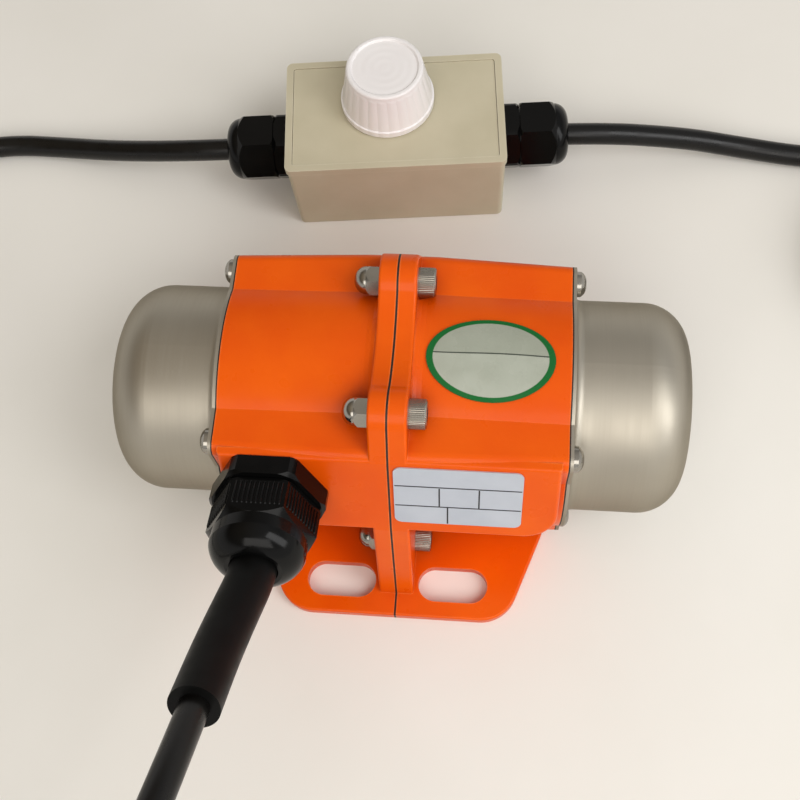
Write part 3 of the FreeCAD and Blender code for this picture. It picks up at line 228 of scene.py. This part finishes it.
KNOB_AXIS = (-0.013462, 0.113283)
KNOB_FACE = 2 * BOX_MIDDLE + 0.0173   # the case's top and the knob's height above it
KNOB_FACETS = 26
KNOB_RINGS = 2200.0                   # radians of a sine in a metre

# The flange screws' axes, as distance from the middle plane and height.
SCREW_TOP = (0.0201, 0.0762)
SCREW_LOW = (0.0365, 0.0095)
HEAD_R = 0.00425
HEAD_GROOVES = 48


def rgb(code):
    """Linear colour of a hexadecimal screen colour."""
    parts = [int(code[k:k + 2], 16) / 255 for k in (0, 2, 4)]
    return tuple(p / 12.92 if p <= 0.04045 else ((p + 0.055) / 1.055) ** 2.4 for p in parts)


def rgba(code):
    return (*rgb(code), 1.0)


class Surface:
    """A Principled material whose colour, roughness and relief come from small node chains."""

    def __init__(self, name, colour, rough, metallic=0.0):
        self.material = bpy.data.materials.new(name)
        self.material.use_nodes = True
        self.tree = self.material.node_tree
        self.shader = self.tree.nodes["Principled BSDF"]
        self.set("Base Color", rgba(colour))
        self.set("Roughness", rough)
        self.set("Metallic", metallic)
        self.place = self.tree.nodes.new("ShaderNodeTexCoord").outputs["Object"]

    def set(self, socket, value):
        """Gives the shader one value, or the result of a chain."""
        self.feed(self.shader.inputs[socket], value)

    def feed(self, socket, value):
        if isinstance(value, bpy.types.NodeSocket):
            self.tree.links.new(value, socket)
        else:
            socket.default_value = value

    def node(self, kind, inputs=None, **settings):
        node = self.tree.nodes.new(kind)
        for key, value in settings.items():
            setattr(node, key, value)
        for key, value in (inputs or {}).items():
            self.feed(node.inputs[key], value)
        return node

    def axes(self):
        return self.node("ShaderNodeSeparateXYZ", {"Vector": self.place}).outputs

    def math(self, operation, first, second=0.0):
        return self.node("ShaderNodeMath", {0: first, 1: second}, operation=operation).outputs[0]

    def squares(self, first, second):
        return self.math("ADD", self.math("MULTIPLY", first, first),
                         self.math("MULTIPLY", second, second))

    def distance(self, first, second):
        return self.math("SQRT", self.squares(first, second))

    def noise(self, scale, detail=3.0, rough=0.5, place=None):
        inputs = {"Vector": place or self.place, "Scale": scale, "Detail": detail,
                  "Roughness": rough}
        return self.node("ShaderNodeTexNoise", inputs).outputs["Fac"]

    def ramp(self, value, low, high, first, last):
        """Maps low..high of a value to first..last."""
        inputs = {"Value": value, "From Min": low, "From Max": high, "To Min": first,
                  "To Max": last}
        return self.node("ShaderNodeMapRange", inputs).outputs["Result"]

    def patches(self, scale, first, last, detail=3.0):
        """Soft patches between two values."""
        return self.ramp(self.noise(scale, detail), *NOISE_SPAN, first, last)

    def colours(self, value, first, last):
        node = self.node("ShaderNodeMix", data_type="RGBA")
        self.feed(node.inputs["Factor"], value)
        self.feed(node.inputs[6], first)
        self.feed(node.inputs[7], last)
        return node.outputs[2]

    def edges(self, radius):
        """1 along sharp and rounded edges, 0 on the faces between them."""
        bevel = self.node("ShaderNodeBevel", {"Radius": radius}, samples=6).outputs[0]
        flat = self.node("ShaderNodeNewGeometry").outputs["Normal"]
        lined_up = self.node("ShaderNodeVectorMath", {0: bevel, 1: flat}, operation="DOT_PRODUCT")
        return self.ramp(lined_up.outputs["Value"], 0.995, 0.9, 0.0, 1.0)

    def relief(self, height, distance, strength=1.0):
        inputs = {"Height": height, "Distance": distance, "Strength": strength}
        self.set("Normal", self.node("ShaderNodeBump", inputs).outputs["Normal"])


def mottled(surface, first, last, scale, edge_wear_highlight=None, edge=0.0007, corner_shade=None):
    """Two close colours in soft patches, a lighter third on edges as wear and painted highlight,
    and a darker fourth as painted shade in the corners.
    """
    colour = surface.colours(surface.patches(scale, 0.0, 1.0, 4.0), rgba(first), rgba(last))
    # Edges lightened: wear and painted highlight.
    if edge_wear_highlight:
        uneven = surface.ramp(surface.noise(EDGE_WEAR_HIGHLIGHT_SCALE), 0.3, 0.6, *EDGE_WEAR_HIGHLIGHT_SHARE)
        worn_and_highlit = surface.math("MULTIPLY", surface.edges(edge), uneven)
        colour = surface.colours(worn_and_highlit, colour, rgba(edge_wear_highlight))
    # Painted shade: a darker colour where ambient occlusion finds a corner hidden.
    if corner_shade:
        sky = surface.node("ShaderNodeAmbientOcclusion", {"Distance": CORNER_SHADE_REACH}, samples=8)
        painted_shade = surface.ramp(sky.outputs["AO"], 0.35, 0.9, CORNER_SHADE_SHARE, 0.0)
        colour = surface.colours(painted_shade, colour, rgba(corner_shade))
    surface.set("Base Color", colour)


def orange_paint():
    """Enamel with a slight peel, edges lightened as wear and painted highlight, and painted shade
    in the corners.
    """
    s = Surface("orange_enamel", "E8560F", 0.3)
    # Lighter edges are wear and painted highlight; the corner colour is painted shade.
    mottled(s, "E55200", "EE5F02", 45.0, edge_wear_highlight="FF9048", corner_shade="AD2C00")
    s.set("Roughness", s.patches(140.0, 0.26, 0.36))
    s.set("Specular IOR Level", 0.15)
    s.relief(s.math("ADD", s.noise(700.0, 2.0), s.math("MULTIPLY", s.noise(160.0), 1.5)),
             0.00006, 0.35)
    s.set("Coat Weight", 0.06)
    s.set("Coat Roughness", 0.12)
    return s.material


def spun_metal():
    """Drawn cup, satin all over, with faint rings about the shaft."""
    s = Surface("spun_cover", "B5AFA2", 0.47, 1.0)
    parts = s.axes()
    radius = s.distance(parts["Y"], s.math("SUBTRACT", parts["Z"], SHAFT_HEIGHT))
    rings = s.node("ShaderNodeCombineXYZ", {"X": parts["X"], "Y": radius}).outputs[0]
    fine = s.noise(1900.0, 2.0, 0.6, rings)
    coarse = s.noise(160.0, 2.0, 0.5, rings)
    s.set("Base Color", s.colours(s.patches(28.0, 0.0, 1.0, 2.0), rgba("B5AFA2"), rgba("A9A295")))
    s.set("Roughness", s.ramp(s.math("ADD", fine, coarse), 0.7, 1.3, 0.42, 0.52))
    s.relief(s.math("ADD", fine, s.math("MULTIPLY", s.noise(3200.0, 2.0), 0.6)), 0.000012, 0.25)
    s.set("Specular Tint", (0.5, 0.47, 0.43, 1.0))
    return s.material


def oval_label():
    """Pale film with a printed border and one thin line across it, darker above the line."""
    s = Surface("oval_label", "B5BAAE", 0.3)
    parts = s.axes()
    along, across = (s.math("DIVIDE", s.math("SUBTRACT", parts[axis], middle), half)
                     for axis, middle, half in zip("XY", STICKER_CENTRE, STICKER_HALF))
    border = s.ramp(s.squares(along, across), *STICKER_BORDER, 0.0, 1.0)
    waves = s.math("SINE", s.math("MULTIPLY", parts["X"], LINE_WAVES))
    off = s.math("ADD", s.math("SUBTRACT", parts["Y"], STICKER_LINE),
                 s.math("MULTIPLY", waves, LINE_SWAY))
    line = s.ramp(s.math("ABSOLUTE", off), *LINE_EDGE, LINE_INK, 0.0)
    above = s.ramp(parts["Y"], STICKER_LINE, STICKER_LINE + 0.0002, 0.0, ABOVE_LINE)
    film = s.colours(s.patches(110.0, 0.0, 1.0), rgba("A5AA9C"), rgba("B2B7AA"))
    film = s.colours(above, film, rgba("8F9484"))
    film = s.colours(line, film, rgba("2E362F"))
    s.set("Base Color", s.colours(border, film, rgba("0A652A")))
    s.set("Roughness", s.patches(200.0, 0.22, 0.34))
    s.relief(s.noise(90.0, 2.0), 0.00005, 0.3)
    s.set("Specular IOR Level", 0.3)
    return s.material


def plain(name, first, last, rough, metallic=0.0, grain=1200.0, depth=0.00003, scale=90.0,
          shine=0.5, edge_wear_highlight=None):
    """Moulded or cast stuff: two close colours, a fine grain and uneven gloss."""
    s = Surface(name, first, rough, metallic)
    s.set("Specular IOR Level", shine)
    mottled(s, first, last, scale, edge_wear_highlight=edge_wear_highlight)
    s.set("Roughness", s.patches(2.3 * scale, rough - 0.06, rough + 0.06))
    s.relief(s.noise(grain), depth, 0.5)
    return s.material


def knob_moulding():
    """White moulding with faint upright facets round its side and turned rings on top."""
    s = Surface("knob_plastic", "E6E2E2", 0.32)
    # Lighter edges: wear and painted highlight.
    mottled(s, "EFEBEB", "F3F0F0", 60.0, edge_wear_highlight="FAF8F8")
    parts = s.axes()
    right = s.math("SUBTRACT", parts["X"], KNOB_AXIS[0])
    back = s.math("SUBTRACT", parts["Y"], KNOB_AXIS[1])
    angle = s.math("ARCTAN2", back, right)
    facets = s.math("ABSOLUTE", s.math("SINE", s.math("MULTIPLY", angle, KNOB_FACETS / 2)))
    below = s.ramp(parts["Z"], KNOB_FACE - 0.0008, KNOB_FACE - 0.0018, 0.0, 1.0)
    rings = s.math("SINE", s.math("MULTIPLY", s.distance(right, back), KNOB_RINGS))
    height = s.math("ADD", s.math("MULTIPLY", facets, below), s.math("MULTIPLY", rings, 0.12))
    s.relief(s.math("ADD", height, s.math("MULTIPLY", s.noise(500.0), 0.12)), 0.0003, 0.6)
    s.set("Roughness", s.patches(90.0, 0.28, 0.36))
    return s.material


def knurled_steel():
    """Plated socket-head screws: fine grooves along the side of each head."""
    s = Surface("knurled_steel", "8C877E", 0.22, 1.0)
    # The pale edge colour is wear and a painted highlight on the heads' rims.
    mottled(s, "8C877E", "9C978E", 90.0, edge_wear_highlight="D0CCC4", edge=0.0004)
    parts = s.axes()
    upper = s.ramp(parts["Z"], SHAFT_HEIGHT, SHAFT_HEIGHT + 0.001, 0.0, 1.0)
    sideways = s.math("SUBTRACT", s.math("ABSOLUTE", parts["Y"]),
                      s.ramp(upper, 0.0, 1.0, SCREW_LOW[0], SCREW_TOP[0]))
    upwards = s.math("SUBTRACT", parts["Z"],
                     s.ramp(upper, 0.0, 1.0, SCREW_LOW[1], SCREW_TOP[1]))
    angle = s.math("ARCTAN2", upwards, sideways)
    outside = s.ramp(s.distance(sideways, upwards), HEAD_R - 0.0003, HEAD_R - 0.0001, 0.0, 1.0)
    grooves = s.math("MULTIPLY", s.math("SINE", s.math("MULTIPLY", angle, HEAD_GROOVES)), outside)
    s.relief(s.math("ADD", grooves, s.math("MULTIPLY", s.noise(900.0), 0.15)), 0.00012, 0.5)
    s.set("Roughness", s.patches(200.0, 0.18, 0.28))
    return s.material


MATERIALS = {
    "orange_paint": orange_paint(),
    "cover_metal": spun_metal(),
    "gasket": plain("gasket_rubber", "120D0A", "1B1511", 0.6),
    "fastener_steel": plain("plated_steel", "96928A", "A8A49C", 0.2, 1.0, grain=1500.0,
                            depth=0.00001),
    "lamination_steel": plain("lamination_steel", "77787C", "85868A", 0.4, 1.0),
    "winding_copper": plain("winding_copper", "8F4A20", "A85A2A", 0.35, 1.0),
    "cage_aluminium": plain("cage_aluminium", "B4B5B8", "C4C5C8", 0.35, 1.0),
    "shaft_steel": plain("shaft_steel", "9A9A9C", "ACACAE", 0.25, 1.0),
    "bearing_steel": plain("bearing_steel", "BDBEC0", "CDCED0", 0.15, 1.0),
    "weight_steel": plain("weight_steel", "6E6E70", "7F7F82", 0.4, 1.0),
    "gland_plastic": plain("gland_nylon", "070707", "0B0B0B", 0.17, grain=1600.0, depth=0.00001,
                           shine=0.16),
    "cord_rubber": plain("cord_rubber", "090807", "0E0C0A", 0.3, grain=1300.0, depth=0.00001,
                         shine=0.3),
    "plate_metal": plain("plate_metal", "B9C0CC", "C3C9D4", 0.35, 0.2, grain=1800.0,
                         depth=0.00001),
    "sticker_film": oval_label(),
    # Lighter rim and corners on the case: wear and painted highlight.
    "case_plastic": plain("case_plastic", "C0B89E", "C9C1A8", 0.45, grain=900.0, depth=0.00002,
                          scale=55.0, shine=0.35, edge_wear_highlight="DAD4C0"),
    "knob_plastic": knob_moulding(),
    "board_plastic": plain("board_plastic", "1F5B33", "27693D", 0.4),
    "component_plastic": plain("component_plastic", "1A1A1C", "242427", 0.45),
    "pin_brass": plain("pin_brass", "C7A96A", "D6B97A", 0.25, 1.0),
}
SLEEVE_RUBBER = plain("sleeve_rubber", "060606", "0A0A09", 0.42, grain=1300.0, depth=0.00002,
                      shine=0.12)


def dress(piece, material):
    piece.data.materials.clear()
    piece.data.materials.append(material)


for part in frame["record"]["subparts"]:
    dress(bpy.data.objects[part["node"]], MATERIALS[part["material_slot"]])
dress(bpy.data.objects["flange_cap_screws"], knurled_steel())
dress(bpy.data.objects["cable_sleeve"], SLEEVE_RUBBER)
for cord in (lead_cord, supply_cord):
    dress(cord, MATERIALS["cord_rubber"])

# ---------------------------------------------------------------- small pieces
PLATE = (0.0014, 0.0374, 0.00515, 0.02905)     # left, right, low and high, on the sloping pad
PLATE_FACE = 0.0004
RULE_WIDTH = 0.00042
RULE_HEIGHT = 0.00004
RULE_SUNK = 0.00002
RULE_INSET = 0.0003                   # from the plate's edge to the end of a rule
CELL_SPLITS = (0.355, 0.665)          # shares of the plate's width, in the middle row
LOW_SPLIT = 0.42                      # and in the lowest row

NUT_HALF_FLATS = 0.0134
NUT_START = 0.0065
NUT_END = 0.018
NUT_RIBS = 11
RIB_PITCH = 0.082                     # share of a flat's width
RIB_MARGINS = (0.0013, 0.0026)        # from the flat's lower and upper end
RIB_SLOPE = 0.0005
RIB_TIP = 0.3                         # height left at a rib's ends
RIB_PROFILE = [(-0.00036, -0.0001), (-0.00028, 0.00022), (0.0, 0.00042), (0.00028, 0.00022),
               (0.00036, -0.0001)]


def add_mesh(name, vertices, faces, material):
    mesh = bpy.data.meshes.new(name)
    mesh.from_pydata(vertices, [], faces)
    mesh.update()
    mesh.materials.append(material)
    piece = add_object(name, mesh)
    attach(piece, BODY)
    return piece


def on_plate(along, up, lift):
    return PAD_FOOT + Vector((along, 0, 0)) + up * PAD_UP + lift * PAD_NORMAL


def ruled_lines():
    """Printed rules on the bare plate: a title row, a row of three cells and a row of two."""
    left, right, low, high = PLATE
    width = right - left
    third = (high - low) / 3
    half = RULE_WIDTH / 2
    level = [low + 2 * third + 0.0004, low + third - 0.0002]
    upright = [(left + split * width, low + third, low + 2 * third) for split in CELL_SPLITS]
    upright += [(left + LOW_SPLIT * width, low + RULE_INSET, low + third)]
    boxes = [(left + RULE_INSET, right - RULE_INSET, up - half, up + half) for up in level]
    boxes += [(x - half, x + half, u0, u1) for x, u0, u1 in upright]
    vertices, faces = [], []
    for x0, x1, u0, u1 in boxes:
        base = len(vertices)
        for lift in (PLATE_FACE - RULE_SUNK, PLATE_FACE + RULE_HEIGHT):
            vertices += [on_plate(x0, u0, lift), on_plate(x1, u0, lift),
                         on_plate(x1, u1, lift), on_plate(x0, u1, lift)]
        for quad in ((4, 5, 6, 7), (0, 1, 5, 4), (1, 2, 6, 5), (2, 3, 7, 6), (3, 0, 4, 7)):
            faces.append([base + corner for corner in quad])
    ink = plain("plate_ink", "16171C", "22232A", 0.5)
    add_mesh("plate_ruling", vertices, faces, ink)


def gland_ribs():
    """Fine grip ribs on the six flats of the motor gland's nut."""
    sideways = Vector((1, 0, 0))
    upward = PAD_NORMAL.cross(sideways)
    flat_width = NUT_HALF_FLATS * 2 / math.sqrt(3)
    start, end = NUT_START + RIB_MARGINS[0], NUT_END - RIB_MARGINS[1]
    sections = [(start, RIB_TIP), (start + RIB_SLOPE, 1.0), (end - RIB_SLOPE, 1.0), (end, RIB_TIP)]
    count = len(RIB_PROFILE)
    vertices, faces = [], []
    for flat in range(6):
        angle = math.radians(30 + 60 * flat)
        outward = math.cos(angle) * sideways + math.sin(angle) * upward
        along = -math.sin(angle) * sideways + math.cos(angle) * upward
        for rib in range(NUT_RIBS):
            offset = (rib - (NUT_RIBS - 1) / 2) * flat_width * RIB_PITCH
            base = len(vertices)
            for reach, shrink in sections:
                for across, proud in RIB_PROFILE:
                    vertices.append(GLAND_BASE + reach * PAD_NORMAL + (offset + across) * along
                                    + (NUT_HALF_FLATS + proud * shrink) * outward)
            for ring in range(len(sections) - 1):
                for side in range(count - 1):
                    a = base + count * ring + side
                    faces.append((a, a + 1, a + count + 1, a + count))
            last = base + count * (len(sections) - 1)
            faces += [list(range(base, base + count)), list(range(last, last + count))]
    nylon = MATERIALS["gland_plastic"]
    smooth(add_mesh("gland_nut_ribs", vertices, faces, nylon).data)


ruled_lines()
gland_ribs()

# ---------------------------------------------------------------- floor and light
PALE = (0.79, 0.77, 0.745)            # background at the horizon
FLOOR_HALF = 9.0
FLOOR_FADE = (0.5, 1.2)               # distance over which the floor turns into the background
WORLD_LEVEL = 0.59
WORLD_SIDES = (-0.5, 0.4)             # where the warm side ends and the window's side begins

# Colours from the horizon up, on the warm side and on the window's: as light, and as seen.
LIGHT_WARM = [(0.0, (0.14, 0.12, 0.1)), (0.85, (0.93, 0.84, 0.7))]
LIGHT_WINDOW = [(0.0, (0.17, 0.16, 0.15)), (0.85, (1.0, 1.0, 1.0))]
SEEN_WARM = [(0.26, PALE), (0.45, (0.1, 0.08, 0.055)), (0.95, (0.45, 0.37, 0.27))]
SEEN_WINDOW = [(0.26, PALE), (0.5, (0.42, 0.42, 0.42)), (0.95, (0.68, 0.68, 0.68))]


def seen_directly(tree):
    """1 for camera, glossy and transmission rays, 0 for the rays that light things."""
    rays = tree.nodes.new("ShaderNodeLightPath").outputs
    total = rays["Is Camera Ray"]
    for name in ("Is Glossy Ray", "Is Transmission Ray"):
        highest = tree.nodes.new("ShaderNodeMath")
        highest.operation = "MAXIMUM"
        tree.links.new(total, highest.inputs[0])
        tree.links.new(rays[name], highest.inputs[1])
        total = highest.outputs[0]
    return total


def make_floor():
    """Pale paper near the model, which turns into the plain background further out."""
    mesh = bpy.data.meshes.new("floor")
    h = FLOOR_HALF
    mesh.from_pydata([(-h, -h, 0), (h, -h, 0), (h, h, 0), (-h, h, 0)], [], [(0, 1, 2, 3)])
    floor = add_object("floor", mesh)
    s = Surface("floor_paper", "EDEAE8", 0.7)
    mottled(s, "EBE8E1", "F0EDE7", 12.0)
    distance = s.node("ShaderNodeVectorMath", {0: s.place}, operation="LENGTH").outputs["Value"]
    far = s.ramp(distance, *FLOOR_FADE, 0.0, 1.0)
    glow = s.node("ShaderNodeEmission", {"Color": (*PALE, 1.0), "Strength": 1.0}).outputs[0]
    share = s.math("MULTIPLY", far, seen_directly(s.tree))
    mix = s.node("ShaderNodeMixShader", {0: share, 1: s.shader.outputs[0], 2: glow})
    s.feed(s.tree.nodes["Material Output"].inputs["Surface"], mix.outputs[0])
    mesh.materials.append(s.material)


def area_light(name, at, size, power, colour):
    """Rectangular lamp that points at the origin."""
    data = bpy.data.lights.new(name, "AREA")
    data.shape = "RECTANGLE"
    data.size, data.size_y = size
    data.energy = power
    data.color = colour
    light = add_object(name, data)
    light.location = at
    light.rotation_euler = (-Vector(at)).to_track_quat("-Z", "Y").to_euler()


def height_ramp(tree, height, stops):
    """Colour that runs from the horizon to overhead."""
    ramp = tree.nodes.new("ShaderNodeValToRGB")
    tree.links.new(height, ramp.inputs["Fac"])
    points = ramp.color_ramp.elements
    while len(points) < len(stops):
        points.new(1.0)
    for point, (level, colour) in zip(points, stops):
        point.position = level
        point.color = (*colour, 1.0)
    return ramp.outputs["Color"]


def room(tree, warm, window):
    """Background shader between the room's warm left side and the window's side."""
    direction = tree.nodes.new("ShaderNodeTexCoord")
    parts = tree.nodes.new("ShaderNodeSeparateXYZ")
    side = tree.nodes.new("ShaderNodeMapRange")
    mix = tree.nodes.new("ShaderNodeMix")
    back = tree.nodes.new("ShaderNodeBackground")
    tree.links.new(direction.outputs["Generated"], parts.inputs["Vector"])
    tree.links.new(parts.outputs["X"], side.inputs["Value"])
    side.inputs["From Min"].default_value, side.inputs["From Max"].default_value = WORLD_SIDES
    mix.data_type = "RGBA"
    tree.links.new(side.outputs["Result"], mix.inputs["Factor"])
    tree.links.new(height_ramp(tree, parts.outputs["Z"], warm), mix.inputs[6])
    tree.links.new(height_ramp(tree, parts.outputs["Z"], window), mix.inputs[7])
    tree.links.new(mix.outputs[2], back.inputs["Color"])
    return back


def make_world():
    """Bright ceiling for the light; a pale horizon under a dimmer ceiling for what is seen."""
    world = bpy.data.worlds.new("studio")
    world.use_nodes = True
    tree = world.node_tree
    tree.nodes.remove(tree.nodes["Background"])
    light = room(tree, LIGHT_WARM, LIGHT_WINDOW)
    light.inputs["Strength"].default_value = WORLD_LEVEL
    seen = room(tree, SEEN_WARM, SEEN_WINDOW)
    mix = tree.nodes.new("ShaderNodeMixShader")
    tree.links.new(seen_directly(tree), mix.inputs[0])
    tree.links.new(light.outputs[0], mix.inputs[1])
    tree.links.new(seen.outputs[0], mix.inputs[2])
    tree.links.new(mix.outputs[0], tree.nodes["World Output"].inputs["Surface"])
    bpy.context.scene.world = world


make_floor()
make_world()
area_light("window", (0.8, -0.35, 0.8), (0.5, 1.0), 6.4, (1.0, 1.0, 1.0))
area_light("front", (0.05, -0.95, 0.95), (1.2, 0.7), 6.9, (1.0, 0.97, 0.93))
bpy.context.scene.view_settings.view_transform = "Standard"
